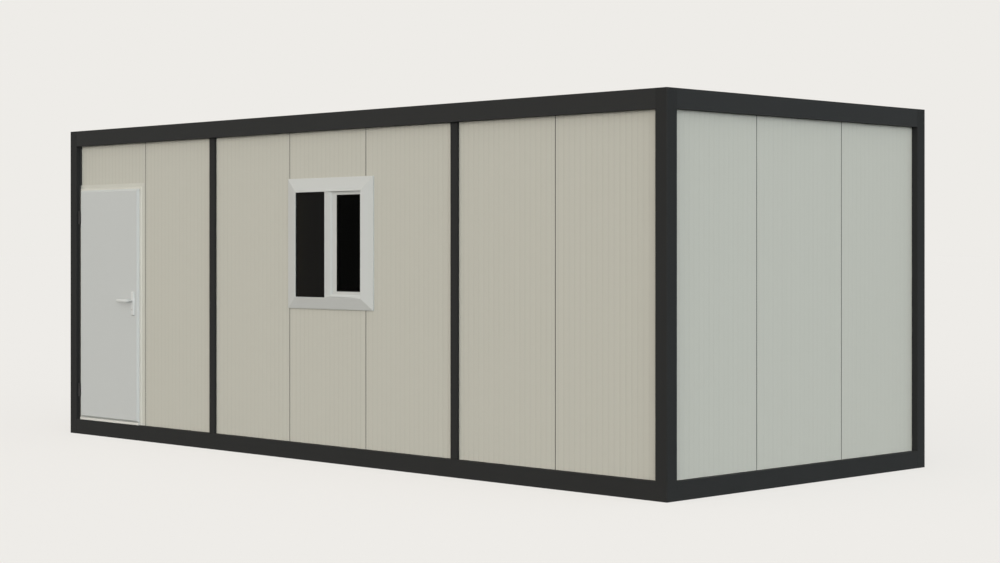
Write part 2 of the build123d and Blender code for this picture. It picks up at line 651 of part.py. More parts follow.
# ------------------------------------------------------------------ assembly
def all_pieces():
    """Every node of the cabin by name."""
    pieces = {}
    for side in ("front", "back"):
        pieces[f"bottom_rail_{side}"] = on_side(bottom_rail(LONG_CLEAR), side)
        pieces[f"top_rail_{side}"] = on_side(long_top_rail(), side)
    for side in ("left", "right"):
        pieces[f"bottom_rail_{side}"] = on_side(bottom_rail(END_CLEAR), side)
        pieces[f"top_rail_{side}"] = on_side(end_top_rail(), side)
    for corner, side, reach in (
        ("front_left", "front", HALF_L), ("front_right", "right", HALF_W),
        ("back_right", "back", HALF_L), ("back_left", "left", HALF_W),
    ):
        pieces[f"corner_post_{corner}"] = on_side(Pos(-reach, 0, 0) * corner_post(), side)
    pieces["mid_posts_front"] = on_side(Compound([mid_post(MID_1), mid_post(MID_2)]), "front")
    pieces["mid_posts_back"] = on_side(Compound([mid_post(-MID_2), mid_post(-MID_1)]), "back")

    for name, piece in front_panels().items():
        pieces[name] = on_side(piece, "front")
    edges = [-u for u in reversed(front_joints())]
    pieces["back_panels"] = on_side(Compound([panel(a, b) for a, b in zip(edges, edges[1:])]), "back")
    edges = end_joints()
    ends = [panel(a, b) for a, b in zip(edges, edges[1:])]
    pieces["left_end_panels"] = on_side(Compound(ends), "left")
    for number, piece in enumerate(ends, start=1):
        pieces[f"right_end_panel_{number}"] = on_side(piece, "right")

    pieces["floor_joists"] = floor_joists()
    pieces["floor_deck"] = floor_deck()
    pieces["floor_under_sheet"] = floor_under_sheet()
    pieces["ceiling"] = ceiling()
    pieces["roof_joists"] = roof_joists()
    pieces["roof_purlins"] = roof_purlins()
    pieces["roof_sheet"] = roof_sheet()

    for name, make in (
        ("door_frame", door_frame), ("door_leaf", door_leaf), ("door_hinges_frame", frame_hinges),
        ("door_hinges_leaf", leaf_hinges), ("handle_plates", handle_plates),
        ("lock_cylinder", lock_cylinder), ("lever_handle", lever_handle),
        ("window_architrave", architrave), ("window_frame", window_frame),
        ("window_sash", right_sash), ("window_glass", window_glass),
    ):
        pieces[name] = on_side(make(), "front")
    return pieces


def main():
    os.makedirs("parts", exist_ok=True)
    for name, piece in all_pieces().items():
        export_step(piece, f"parts/{name}.step")
        print(f"{name}: {len(piece.solids())} solid(s), {piece.volume / 1e9:.5f} m3")


if __name__ == "__main__":
    main()
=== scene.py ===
# %% [markdown]
# # A portable site cabin
# The cabin is a welded steel frame filled with sandwich panels, with a door at one end of its long
# side and a small sliding window beside it. Its exact shape is already made in CAD, so this lesson
# loads that shape as a fixed frame and works on what CAD leaves out: paint, plastic, glass, rubber
# seals, screws, the door furniture and the light that they are seen in.

# %% Load the frame
import json
import math

import bmesh
import bpy
from mathutils import Matrix, Vector


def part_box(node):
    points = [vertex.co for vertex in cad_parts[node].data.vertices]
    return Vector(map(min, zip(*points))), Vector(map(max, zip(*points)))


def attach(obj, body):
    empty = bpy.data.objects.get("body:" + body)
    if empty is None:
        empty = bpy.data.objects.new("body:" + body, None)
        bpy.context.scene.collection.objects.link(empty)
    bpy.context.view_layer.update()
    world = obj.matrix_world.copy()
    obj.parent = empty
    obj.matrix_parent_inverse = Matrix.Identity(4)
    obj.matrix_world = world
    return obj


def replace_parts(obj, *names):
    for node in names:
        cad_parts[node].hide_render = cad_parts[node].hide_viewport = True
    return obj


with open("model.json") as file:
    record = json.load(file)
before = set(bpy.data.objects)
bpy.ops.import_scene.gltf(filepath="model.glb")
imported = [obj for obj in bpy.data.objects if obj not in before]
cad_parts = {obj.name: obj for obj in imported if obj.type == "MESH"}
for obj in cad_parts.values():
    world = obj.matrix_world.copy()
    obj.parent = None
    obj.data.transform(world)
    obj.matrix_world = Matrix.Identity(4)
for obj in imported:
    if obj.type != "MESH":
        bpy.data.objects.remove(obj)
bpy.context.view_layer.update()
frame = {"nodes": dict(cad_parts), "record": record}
nodes = frame["nodes"]
scene = bpy.context.scene

# %% [markdown]
# ## Camera
# A buyer sees such a cabin from its corner, at about eye height, with both the long side and one
# end in view. A long lens from far away keeps the verticals parallel, and a small downward shift
# of the lens frames the cabin without tilting the camera.

# %% Camera
EYE = Vector((11.9147, -11.4149, 1.6452))
TURN = math.radians(45.104)
camera_data = bpy.data.cameras.new("corner_view")
camera_data.sensor_width = 36.0
camera_data.lens = 71.861
camera_data.shift_y = -0.03215
camera_data.clip_end = 500.0
camera = bpy.data.objects.new("corner_view", camera_data)
camera.location = EYE
camera.rotation_euler = (math.radians(90), 0, TURN)
scene.collection.objects.link(camera)
scene.camera = camera
scene.view_settings.view_transform = "Standard"
print("camera", [round(v, 2) for v in EYE], "lens", camera_data.lens)

# %% [markdown]
# ## Node helpers
# Every finish below is a tree of shader nodes, and a few small helpers keep those trees readable.
# One turns the colour of a paint chart into the light values that Blender mixes. One adds a node
# and fills its sockets, linking where it is given a socket and typing in where it is given a value.
# The others are the nodes used most: sums, a change of range, a mix of colours and a noise.

# %% Node helpers
def chart(red, green, blue):
    """Linear colour of a display colour from 0 to 255."""
    def linear(value):
        part = value / 255
        return part / 12.92 if part <= 0.04045 else ((part + 0.055) / 1.055) ** 2.4
    return (linear(red), linear(green), linear(blue), 1.0)


def fill(tree, made, inputs):
    """Fill a node; inputs holds sockets to link or values to type in, by name or number."""
    for name, value in (inputs or {}).items():
        if isinstance(value, bpy.types.NodeSocket):
            tree.links.new(value, made.inputs[name])
        else:
            made.inputs[name].default_value = value
    return made


def add(tree, kind, inputs=None, **settings):
    """A new node, set and filled."""
    made = tree.nodes.new("ShaderNode" + kind)
    for name, value in settings.items():
        setattr(made, name, value)
    return fill(tree, made, inputs)


def maths(tree, operation, first, second=0.0, clamp=False):
    """Result socket of one sum."""
    return add(tree, "Math", {0: first, 1: second}, operation=operation, use_clamp=clamp).outputs[0]


def vectors(tree, operation, first, second=(0, 0, 0)):
    """Result socket of one sum of vectors; that of a dot product is a number."""
    made = add(tree, "VectorMath", {0: first, 1: second}, operation=operation)
    return made.outputs["Value" if operation == "DOT_PRODUCT" else "Vector"]


def rescale(tree, value, start, end, low=0.0, high=1.0):
    """A value taken from the range start to end into the range low to high, and held there."""
    ends = {"From Min": start, "From Max": end, "To Min": low, "To Max": high}
    return add(tree, "MapRange", {"Value": value, **ends}).outputs[0]


def mixed(tree, share, first, second):
    """A colour that is first where the share is 0 and second where it is 1."""
    return add(tree, "Mix", {"Factor": share, 6: first, 7: second}, data_type="RGBA").outputs[2]


def position(tree):
    """Where a point is in the cabin's own coordinates, in metres."""
    return add(tree, "TexCoord").outputs["Object"]


def noise(tree, place, scale, detail, roughness=0.5, distortion=0.0):
    """Value of a soft noise, mostly between 0.3 and 0.7."""
    made = add(tree, "TexNoise", {"Vector": place, "Scale": scale, "Detail": detail})
    return fill(tree, made, {"Roughness": roughness, "Distortion": distortion}).outputs["Fac"]


print("a mid grey chart colour is", [round(v, 3) for v in chart(128, 128, 128)[:3]])

# %% [markdown]
# ## Light
# Soft studio light comes from the whole sky of the scene, so nothing throws a hard shadow. Most of
# it comes from low down, as from large pale walls all round, and it is brightest behind the
# camera: so recessed panels are shaded only close under the rail. A smaller part comes from high
# overhead and makes faces that lean back brighter than those that lean forward. The light is a
# touch warmer on the long side and cooler on the end. The camera, and rays that reflect or pass
# through glass, see the plain pale backdrop.

# %% Sky
BACKDROP = chart(238, 236, 232)
ALL_ROUND = 0.125
WALLS = 4.727              # light of the pale walls all round, strongest at the horizon
WALLS_FALL = 3.0           # how fast it falls off upwards
WALLS_TURN = 0.70          # how much weaker it is on the far side
OVERHEAD = 1.558
OVERHEAD_WIDTH = 5.2       # the higher, the narrower the patch overhead
LAMP = 2.057               # a soft lamp behind the camera
LAMP_WIDTH = 8.0
LAMP_TURN = math.radians(46)
LAMP_RISE = math.radians(14.6)
WARM = (1.081, 0.964, 0.862, 1.0)
COOL = (0.953, 1.069, 1.168, 1.0)
COOL_TURN = math.radians(135)   # the side that the cool light comes from


def seen_directly(tree):
    """1 for rays of the camera, of reflections and through glass, 0 for rays that carry light."""
    path = add(tree, "LightPath").outputs
    seen = maths(tree, "MAXIMUM", path["Is Camera Ray"], path["Is Glossy Ray"])
    return maths(tree, "MAXIMUM", seen, path["Is Transmission Ray"])


world = bpy.data.worlds.new("studio")
scene.world = world
world.use_nodes = True
sky = world.node_tree
sky.nodes.clear()
direction = add(sky, "TexCoord").outputs["Generated"]


def way(turn, rise):
    """Unit vector that looks a turn away from the front towards the right end, and up by a rise."""
    return (math.sin(turn) * math.cos(rise), -math.cos(turn) * math.cos(rise), math.sin(rise))


def facing(target):
    """How far the sky direction points the same way as a target."""
    return vectors(sky, "DOT_PRODUCT", direction, target)


def side_of(turn):
    """1 on the side of the sky that a turn points to, falling to 0 on the far side."""
    return maths(sky, "MULTIPLY", maths(sky, "ADD", facing(way(turn, 0)), 1.0), 0.5)


climb = add(sky, "SeparateXYZ", {0: direction}).outputs["Z"]
climb = maths(sky, "MAXIMUM", climb, 0.0)
low_light = maths(sky, "POWER", maths(sky, "SUBTRACT", 1.0, climb), WALLS_FALL)
near_side = maths(sky, "POWER", side_of(LAMP_TURN), WALLS_TURN)
low_light = maths(sky, "MULTIPLY", low_light, near_side)
high_light = maths(sky, "POWER", climb, OVERHEAD_WIDTH)
lamp_side = maths(sky, "MAXIMUM", facing(way(LAMP_TURN, LAMP_RISE)), 0.0)
lamp_light = maths(sky, "POWER", lamp_side, LAMP_WIDTH)
strength = maths(sky, "ADD", maths(sky, "MULTIPLY", low_light, WALLS), ALL_ROUND)
strength = maths(sky, "ADD", strength, maths(sky, "MULTIPLY", high_light, OVERHEAD))
strength = maths(sky, "ADD", strength, maths(sky, "MULTIPLY", lamp_light, LAMP))
tint = mixed(sky, side_of(COOL_TURN), WARM, COOL)
lighting = add(sky, "Background", {"Color": tint, "Strength": strength})
plain = add(sky, "Background", {"Color": BACKDROP, "Strength": 1.0})
mix = add(sky, "MixShader", {0: seen_directly(sky), 1: lighting.outputs[0], 2: plain.outputs[0]})
add(sky, "OutputWorld", {"Surface": mix.outputs[0]})
print("sky made of", len(sky.nodes), "nodes")

# %% [markdown]
# ## Floor
# The floor is one wide plain sheet. Where it is seen it is partly painted and partly self-lit, so
# that it melts into the backdrop but still keeps the soft shadow that the cabin throws. For the
# light that it sends up at the walls it glows evenly, as a large lit studio floor does, and the
# feet of the walls stay as bright as the rest.

# %% Floor
FLOOR_PAINT = (0.886, 0.864, 0.837, 1.0)
FLOOR_LIGHT = (0.061, 0.060, 0.058, 1.0)
SELF_LIT = 0.80
FLOOR_REACH = 400.0
floor_mesh = bpy.data.meshes.new("studio_floor")
corners = [(x * FLOOR_REACH, y * FLOOR_REACH, 0) for x, y in ((-1, -1), (1, -1), (1, 1), (-1, 1))]
floor_mesh.from_pydata(corners, [], [(0, 1, 2, 3)])
floor = bpy.data.objects.new("studio_floor", floor_mesh)
scene.collection.objects.link(floor)
floor_paint = bpy.data.materials.new("studio_floor")
floor_paint.use_nodes = True
floor_paint.cycles.emission_sampling = "NONE"
tree = floor_paint.node_tree
tree.nodes.clear()
paint = add(tree, "BsdfDiffuse", {"Color": FLOOR_PAINT}).outputs[0]
glow = add(tree, "Emission", {"Color": BACKDROP}).outputs[0]
seen = add(tree, "MixShader", {0: SELF_LIT, 1: paint, 2: glow}).outputs[0]
upward = add(tree, "Emission", {"Color": FLOOR_LIGHT}).outputs[0]
surface = add(tree, "MixShader", {0: seen_directly(tree), 1: upward, 2: seen}).outputs[0]
add(tree, "OutputMaterial", {"Surface": surface})
floor_mesh.materials.append(floor_paint)
print("floor", 2 * FLOOR_REACH, "m wide")

# %% [markdown]
# ## Shared effects
# Real coatings are never quite even. Paint dries with a faint orange-peel skin, dust settles on
# ledges and near the ground, and rubbed edges turn paler. Each of these effects is a node group,
# made once and set differently in each finish. They work in the cabin's own coordinates, in
# metres, so that their grain has the same size on every piece.

# %% Group helper
def new_group(name, inputs, outputs):
    """An empty shader node group with named sockets; returns its tree and both end nodes."""
    tree = bpy.data.node_groups.new(name, "ShaderNodeTree")
    for label, kind, value in inputs:
        socket = tree.interface.new_socket(label, in_out="INPUT", socket_type="NodeSocket" + kind)
        socket.default_value = value
    for label, kind in outputs:
        tree.interface.new_socket(label, in_out="OUTPUT", socket_type="NodeSocket" + kind)
    start = tree.nodes.new("NodeGroupInput")
    end = tree.nodes.new("NodeGroupOutput")
    return tree, start.outputs, end.inputs


def use_group(tree, group, values=None):
    """Place a group in a tree and fill its sockets."""
    made = tree.nodes.new("ShaderNodeGroup")
    made.node_tree = group
    return fill(tree, made, values).outputs


print("group helpers ready")

# %% [markdown]
# ### Skin of a coating
# Sprayed paint, rolled coil coating and moulded plastic all have a skin that is not quite flat.
# A broad noise bends reflections slowly and a fine one breaks them up. The group gives a height
# for the bump and a mask that makes some places a little shinier than others.

# %% Coating skin
skin, given, result = new_group(
    "coating_skin",
    [("Grain", "Float", 400.0), ("Waves", "Float", 3.0)],
    [("Height", "Float"), ("Patches", "Float")],
)
place = position(skin)
fine = noise(skin, place, given["Grain"], 2.0, 0.6)
broad = noise(skin, place, given["Waves"], 3.0)
height = add(skin, "Math", {0: broad, 1: 4.0, 2: fine}, operation="MULTIPLY_ADD").outputs[0]
skin.links.new(height, result["Height"])
skin.links.new(broad, result["Patches"])
print("coating_skin:", len(skin.nodes), "nodes")

# %% [markdown]
# ### Weather
# A cabin that stands outdoors has dust on every ledge, a splashed band above the ground and pale
# runs down its walls. The group takes a colour and gives it back weathered. It reads the height
# over the ground, how far a face looks up, and a noise that is stretched into vertical runs.

# %% Weathering
SPLASH_TOP = 0.45                # height that splashes reach
RUN_SCALE = (30.0, 30.0, 0.9)    # squeezes the noise into upright runs
weather, given, result = new_group(
    "weather",
    [
        ("Color", "Color", (0.5, 0.5, 0.5, 1)),
        ("Dust Color", "Color", (0.36, 0.33, 0.28, 1)),
        ("Ledges", "Float", 0.2), ("Splash", "Float", 0.1), ("Runs", "Float", 0.02),
    ],
    [("Color", "Color"), ("Dust", "Float")],
)
place = position(weather)
above_ground = add(weather, "SeparateXYZ", {0: place}).outputs["Z"]
normal = add(weather, "NewGeometry").outputs["Normal"]
looks_up = add(weather, "SeparateXYZ", {0: normal}).outputs["Z"]
on_ledge = rescale(weather, looks_up, 0.35, 0.95)
patchy = rescale(weather, noise(weather, place, 5.0, 6.0, 0.65), 0.3, 0.7)
dusted = maths(weather, "MULTIPLY", on_ledge, patchy)
ledge_dust = maths(weather, "MULTIPLY", dusted, given["Ledges"])
near_ground = rescale(weather, above_ground, 0.0, SPLASH_TOP, 1.0, 0.0)
splashed = maths(weather, "MULTIPLY", near_ground, patchy)
splash_dust = maths(weather, "MULTIPLY", splashed, given["Splash"])
runs = noise(weather, vectors(weather, "MULTIPLY", place, RUN_SCALE), 1.0, 3.0, 0.6)
run_dust = maths(weather, "MULTIPLY", runs, given["Runs"])
dust = maths(weather, "ADD", maths(weather, "ADD", ledge_dust, splash_dust), run_dust, clamp=True)
dusty = mixed(weather, dust, given["Color"], given["Dust Color"])
weather.links.new(dusty, result["Color"])
weather.links.new(dust, result["Dust"])
print("weather:", len(weather.nodes), "nodes")

# %% [markdown]
# ### Worn and highlit edges
# Corners that hands, straps and other cabins touch lose their first gloss, and edges catch the
# light. The mask makes edges paler, partly as wear and partly as a painted highlight. The Bevel
# node gives a normal as if the edge were rounded; where it leaves the true normal there is an edge
# nearby. A noise breaks the mask up, so that the pale edge comes and goes along it.

# %% Edge mask
edges, given, result = new_group(
    "worn_and_highlit_edges", [("Width", "Float", 0.004), ("Breakup", "Float", 40.0)], [("Mask", "Float")]
)
rounded = add(edges, "Bevel", {"Radius": given["Width"]}, samples=4).outputs[0]
true_normal = add(edges, "NewGeometry").outputs["Normal"]
near = rescale(edges, vectors(edges, "DOT_PRODUCT", rounded, true_normal), 0.99, 0.80)
patchy = rescale(edges, noise(edges, position(edges), given["Breakup"], 4.0), 0.42, 0.62)
edges.links.new(maths(edges, "MULTIPLY", near, patchy), result["Mask"])
print("worn_and_highlit_edges:", len(edges.nodes), "nodes")

# %% [markdown]
# ### Painted shade in rolled lines
# The shallow lines rolled into a wall skin get painted shade on their flanks, which is what makes
# them readable from afar. Every wide face of a wall looks straight along one axis, so wherever the
# normal leans away from all three axes there is the flank of a line. A noise lets the painted shade
# come and go.

# %% Painted line shade mask
lines, given, result = new_group(
    "painted_line_shade", [("Patchiness", "Float", 2.0)], [("Mask", "Float")]
)
true_normal = add(lines, "NewGeometry").outputs["True Normal"]
unsigned = vectors(lines, "ABSOLUTE", true_normal)
parts = add(lines, "SeparateXYZ", {0: unsigned}).outputs
largest = maths(lines, "MAXIMUM", maths(lines, "MAXIMUM", parts["X"], parts["Y"]), parts["Z"])
flank = rescale(lines, largest, 0.998, 0.970)
held = rescale(lines, noise(lines, position(lines), given["Patchiness"], 2.0), 0.3, 0.7, 0.7)
lines.links.new(maths(lines, "MULTIPLY", flank, held), result["Mask"])
print("painted_line_shade:", len(lines.nodes), "nodes")

# %% [markdown]
# ## Painted and moulded finishes
# Most of the cabin is either painted steel or moulded plastic. Both are a coloured layer under a
# smooth skin, so one function makes them all: colour through the weather group, pale edges (wear
# and painted highlight) and painted shade in the rolled lines mixed in on top, the skin group for
# bump and for patches of shine.

# %% Coated material
# colour of the painted shade in the rolled lines
LINE_SHADE = (0.05, 0.05, 0.045, 1)
SHINE_SPREAD = 0.04        # roughness differs by this much from patch to patch


def new_material(name):
    """A material, its tree and the shader in it."""
    made = bpy.data.materials.new(name)
    made.use_nodes = True
    return made, made.node_tree, made.node_tree.nodes["Principled BSDF"]


def coated(
    name, colour, roughness, sheen=0.5, grain=400.0, depth=0.00002, waves=3.0, ledges=0.15,
    splash=0.05, runs=0.02, edge_wear_and_highlight=0.0, edge_wear_and_highlight_colour=(0.5, 0.5, 0.5, 1), edge=0.004, line_shade=0.0,
):
    """A paint or plastic; depth is the height of its skin in metres, edge_wear_and_highlight how
    pale its edges get from wear and painted highlight, and line_shade how dark the painted shade in
    its rolled lines."""
    made, tree, shader = new_material(name)
    aged = use_group(
        tree, weather, {"Color": colour, "Ledges": ledges, "Splash": splash, "Runs": runs}
    )
    base = aged["Color"]
    # pale edges: wear, and a painted highlight on the edges
    if edge_wear_and_highlight:
        mask = use_group(tree, edges, {"Width": edge})["Mask"]
        base = mixed(tree, maths(tree, "MULTIPLY", mask, edge_wear_and_highlight), base, edge_wear_and_highlight_colour)
    # painted shade on the flanks of the rolled lines
    if line_shade:
        mask = use_group(tree, lines)["Mask"]
        base = mixed(tree, maths(tree, "MULTIPLY", mask, line_shade), base, LINE_SHADE)
    bumpy = use_group(tree, skin, {"Grain": grain, "Waves": waves})
    shine = rescale(
        tree, bumpy["Patches"], 0.3, 0.7, roughness - SHINE_SPREAD, roughness + SHINE_SPREAD
    )
    matt = maths(tree, "MULTIPLY", aged["Dust"], 0.5)
    tree.links.new(maths(tree, "ADD", shine, matt, clamp=True), shader.inputs["Roughness"])
    tree.links.new(base, shader.inputs["Base Color"])
    bump = add(tree, "Bump", {"Height": bumpy["Height"], "Distance": depth, "Strength": 1.0})
    tree.links.new(bump.outputs[0], shader.inputs["Normal"])
    shader.inputs["Specular IOR Level"].default_value = sheen
    return made


print("coated() is ready, grime", LINE_SHADE[:3])

# %% [markdown]
# ### Frame paint
# The frame has a matt dark grey paint with almost no sheen. A copy a shade lighter is painted
# light: the top rails take it, as if they were lit more than the posts, and so do the corner
# strips by the door, against the shade of their corner.

# %% Frame paint
def steel_coat(name, colour):
    """The frame's matt dark paint in one shade."""
    # the pale edges are wear and a painted highlight
    return coated(
        name, colour, 0.60, sheen=0.03, grain=500, depth=0.00003, ledges=0.03, splash=0.005,
        runs=0.001, edge_wear_and_highlight=0.04, edge_wear_and_highlight_colour=(0.08, 0.08, 0.08, 1),
    )


steel_paint = steel_coat("frame_paint", (0.0245, 0.0255, 0.0252, 1))
# painted light: a lighter copy of the frame paint
lit_frame_paint = steel_coat("frame_paint_painted_light", (0.0292, 0.0304, 0.0300, 1))
print("frame paints ready")

# %% [markdown]
# ### Wall panels
# The outer skin of a sandwich panel is steel strip, coated in the coil and then rolled with
# shallow lines. The coating is matt and a warm stone grey. Between the lines the strip is not
# perfectly flat, which shows as faint broad waves that run up the wall. The lines on the long sides
# get more painted shade than those on the ends. The trim beside the door has the same coating,
# painted a shade paler as painted light along the door frame, and the ceiling has a white one.

# %% Panel coating
PANEL = (0.464, 0.467, 0.411, 1)


def wall_coat(name, line_shade, colour=PANEL):
    """The wall colour with more or less painted shade in its lines."""
    return coated(
        name, colour, 0.55, sheen=0.15, grain=900, depth=0.00001, waves=1.5, ledges=0.25,
        splash=0.02, runs=0.02, line_shade=line_shade,
    )


# painted shade in the lines, stronger on the long side than on the end
side_coat = wall_coat("side_panel_coating", 0.10)
end_coat = wall_coat("end_panel_coating", 0.04)
# painted light: the trim is a shade paler than the wall
lit_trim_coat = wall_coat("cover_trim_coating_painted_light", 0.0, (0.505, 0.513, 0.460, 1))
white_coat = coated(
    "white_coating", (0.70, 0.70, 0.68, 1), 0.5, sheen=0.25, grain=900, depth=0.00001, ledges=0.0,
    splash=0.0, runs=0.0,
)
print("wall and ceiling coatings ready")

# %% [markdown]
# ### Plastics, rubber and hinge paint
# Door, window and handle are white plastics that differ by a shade, because each has yellowed in
# its own way. The extruded profiles have long faint waves from the die. Rubber and sealant are
# matt and finely grained, and the hinges' paint is pale along its edges, partly from wear and
# partly as a painted highlight.

# %% Plastics, rubber and hinge paint
def profile_coat(name, colour, splash):
    """A smooth extruded profile of white plastic."""
    return coated(
        name, colour, 0.35, sheen=0.15, grain=250, depth=0.00001, waves=6, ledges=0.10,
        splash=splash, runs=0.01,
    )


def soft_coat(name, colour, roughness=0.6, sheen=0.05, grain=1200):
    """Rubber or sealant."""
    return coated(name, colour, roughness, sheen=sheen, grain=grain, depth=0.00003, ledges=0.0)


window_plastic = profile_coat("white_profile", (0.484, 0.506, 0.490, 1), 0.0)
door_plastic = profile_coat("door_profile", (0.531, 0.534, 0.482, 1), 0.02)
door_skin = coated(
    "door_skin", (0.476, 0.503, 0.494, 1), 0.38, sheen=0.15, grain=350, depth=0.000015, waves=4,
    ledges=0.10, splash=0.03, runs=0.01,
)
handle_white = coated(
    "handle_white", (0.55, 0.572, 0.561, 1), 0.30, sheen=0.25, grain=600, depth=0.000008, ledges=0.0
)
# the hinge paint's pale edges are wear and a painted highlight
dark_paint = coated(
    "hinge_paint", (0.03, 0.03, 0.03, 1), 0.45, sheen=0.3, edge_wear_and_highlight=0.3, edge_wear_and_highlight_colour=(0.2, 0.2, 0.2, 1),
    edge=0.0015,
)
rubber = soft_coat("black_rubber", (0.004, 0.004, 0.0035, 1), roughness=0.7)
pale_rubber = soft_coat("pale_rubber", (0.62, 0.63, 0.59, 1), sheen=0.15)
# near black as painted shade: the shade deep in the panel grooves
sealant_with_painted_shade = soft_coat("sealant_with_painted_shade", (0.014, 0.014, 0.013, 1), grain=800)
print("plastics, rubber and hinge paint ready")

# %% [markdown]
# ### Zinc
# Hidden steel is galvanised, not painted. Molten zinc freezes in flat crystals, so the finish is
# metal with a pattern of cells, each a slightly different grey and shine.

# %% Galvanised steel
def metal(name, colour, roughness, cell=60.0, contrast=0.25):
    """A bare metal whose crystals differ in tone and shine."""
    made, tree, shader = new_material(name)
    cells = add(tree, "TexVoronoi", {"Vector": position(tree), "Scale": cell}).outputs["Color"]
    tone = add(tree, "SeparateColor", {0: cells}).outputs[0]
    darker = tuple(c * (1 - contrast) for c in colour[:3]) + (1.0,)
    shine = rescale(tree, tone, 0.0, 1.0, roughness - 0.08, roughness + 0.08)
    tree.links.new(mixed(tree, tone, darker, colour), shader.inputs["Base Color"])
    tree.links.new(shine, shader.inputs["Roughness"])
    shader.inputs["Metallic"].default_value = 1.0
    return made


zinc = metal("galvanised", (0.55, 0.56, 0.57, 1), 0.45)
brushed = metal("brushed_steel", (0.60, 0.59, 0.57, 1), 0.30, cell=900.0, contrast=0.15)
print("metals ready")

# %% [markdown]
# ### Floor board
# The floor is film-faced plywood: brown board with a thin dark film that shows a fine wire mark.
# Wood grain shows through at the edges and in tone.

# %% Board
board, tree, shader = new_material("floor_board")
along = vectors(tree, "MULTIPLY", position(tree), (1.0, 14.0, 14.0))
grain = noise(tree, along, 3.0, 8.0, distortion=0.6)
ramp = add(tree, "ValToRGB", {"Fac": grain})
ramp.color_ramp.elements[0].color = (0.16, 0.10, 0.06, 1)
ramp.color_ramp.elements[1].color = (0.34, 0.23, 0.14, 1)
tree.links.new(ramp.outputs[0], shader.inputs["Base Color"])
shader.inputs["Roughness"].default_value = 0.45
bump = add(tree, "Bump", {"Height": grain, "Distance": 0.0003})
tree.links.new(bump.outputs[0], shader.inputs["Normal"])
print("board ready")

# %% [markdown]
# ### Glass
# The panes are dark solar glass. Glass is made with a plain transmission weight of 1. The colour
# of the shader darkens what is seen through it, and a broad faint noise makes that tint a little
# uneven, as the coating on such panes is. A low index keeps the mirror image of the pale studio
# weak. The two panes are lit and shaded copies of one glass: the outer pane has the higher index
# and a lighter tint, so it shines a little more as painted light, and the one that sits deep in
# its sash has a lower index and a darker tint, so it is dimmer as painted shade.

# %% Glass
def glass(name, colour, index):
    """Tinted clear glass."""
    made, tree, shader = new_material(name)
    darker = tuple(c * 0.8 for c in colour[:3]) + (1.0,)
    tint = mixed(tree, noise(tree, position(tree), 4.0, 1.0), colour, darker)
    tree.links.new(tint, shader.inputs["Base Color"])
    shader.inputs["Roughness"].default_value = 0.02
    shader.inputs["IOR"].default_value = index
    shader.inputs["Transmission Weight"].default_value = 1.0
    return made


# painted light and painted shade: one glass with two indices and tints
lit_outer_glass = glass("outer_pane_glass_painted_light", (0.13, 0.11, 0.055, 1), 1.155)
shaded_sash_glass = glass("sash_pane_glass_painted_shade", (0.10, 0.10, 0.085, 1), 1.07)
print("glass ready")

# %% [markdown]
# ## Dress the CAD pieces
# Most CAD pieces already have the right shape and only need their finish. A material is given to
# an object's slot, so the shared mesh stays untouched. A narrow bevel rounds the sharp edges of
# folded and moulded pieces just enough to catch light.

# %% Finish each CAD node
FINISH = {
    "frame_steel": steel_paint, "wall_panel": side_coat, "ceiling_panel": white_coat,
    "floor_board": board, "galvanised_steel": zinc, "door_skin": door_skin,
    "door_frame_plastic": door_plastic, "hinge_steel": dark_paint, "handle_plastic": handle_white,
    "lock_metal": brushed, "window_plastic": window_plastic, "window_glass": lit_outer_glass,
}
slot_of = {part["node"]: part["material_slot"] for part in frame["record"]["subparts"]}
for name, piece in nodes.items():
    finish = FINISH[slot_of[name]]
    # the top rails take the lighter copy of the paint: painted light
    if name.startswith("top_rail"):
        finish = lit_frame_paint
    if "end_panel" in name:
        finish = end_coat
    for holder in piece.material_slots:
        holder.link = "OBJECT"
        holder.material = finish
print("finished", len(nodes), "CAD nodes")

# %% [markdown]
# ### Softened edges
# Folded steel and moulded plastic never have knife edges. The imported meshes are split at every
# crease, so a Weld modifier joins them first, and a Bevel modifier then rounds each crease by a
# millimetre or two. Modifiers leave the mesh itself as CAD made it.

# %% Soften the CAD edges
FOLD_ROUND = 0.0015
MOULD_ROUND = 0.0005
MOULDED = ("window_plastic", "door_skin", "door_frame_plastic", "handle_plastic")


def soften(piece, width):
    """Round the creases of a CAD piece."""
    weld = piece.modifiers.new("join_creases", "WELD")
    weld.merge_threshold = 0.00001
    bevel = piece.modifiers.new("round_creases", "BEVEL")
    bevel.width = width
    bevel.segments = 2
    bevel.limit_method = "ANGLE"
    bevel.angle_limit = math.radians(20)


softened = 0
for name, piece in nodes.items():
    kind = slot_of[name]
    if kind == "frame_steel":
        soften(piece, FOLD_ROUND)
        softened += 1
    elif kind in MOULDED:
        soften(piece, MOULD_ROUND)
        softened += 1
print("softened", softened, "pieces")

# %% [markdown]
# ## Ways of making small pieces
# The small pieces that CAD leaves out come from three shapes. A loft skins a row of rings. A lathe
# is a loft whose rings are circles round an axis. A mitred frame is a loft round the four corners
# of an opening, which closes on itself. Each piece then gets its finish and the body that it moves
# with.

# %% Shape helpers
SMOOTH_ANGLE = math.radians(35)


def loft(form, rings, looped=False):
    """Skin rings of equally many points, with capped ends unless the row closes on itself."""
    rows = [[form.verts.new(point) for point in ring] for ring in rings]
    count = len(rows[0])
    if looped:
        rows.append(rows[0])
    for first, second in zip(rows, rows[1:]):
        for i in range(count):
            j = (i + 1) % count
            form.faces.new((first[i], first[j], second[j], second[i]))
    if not looped:
        form.faces.new(rows[0])
        form.faces.new(rows[-1])


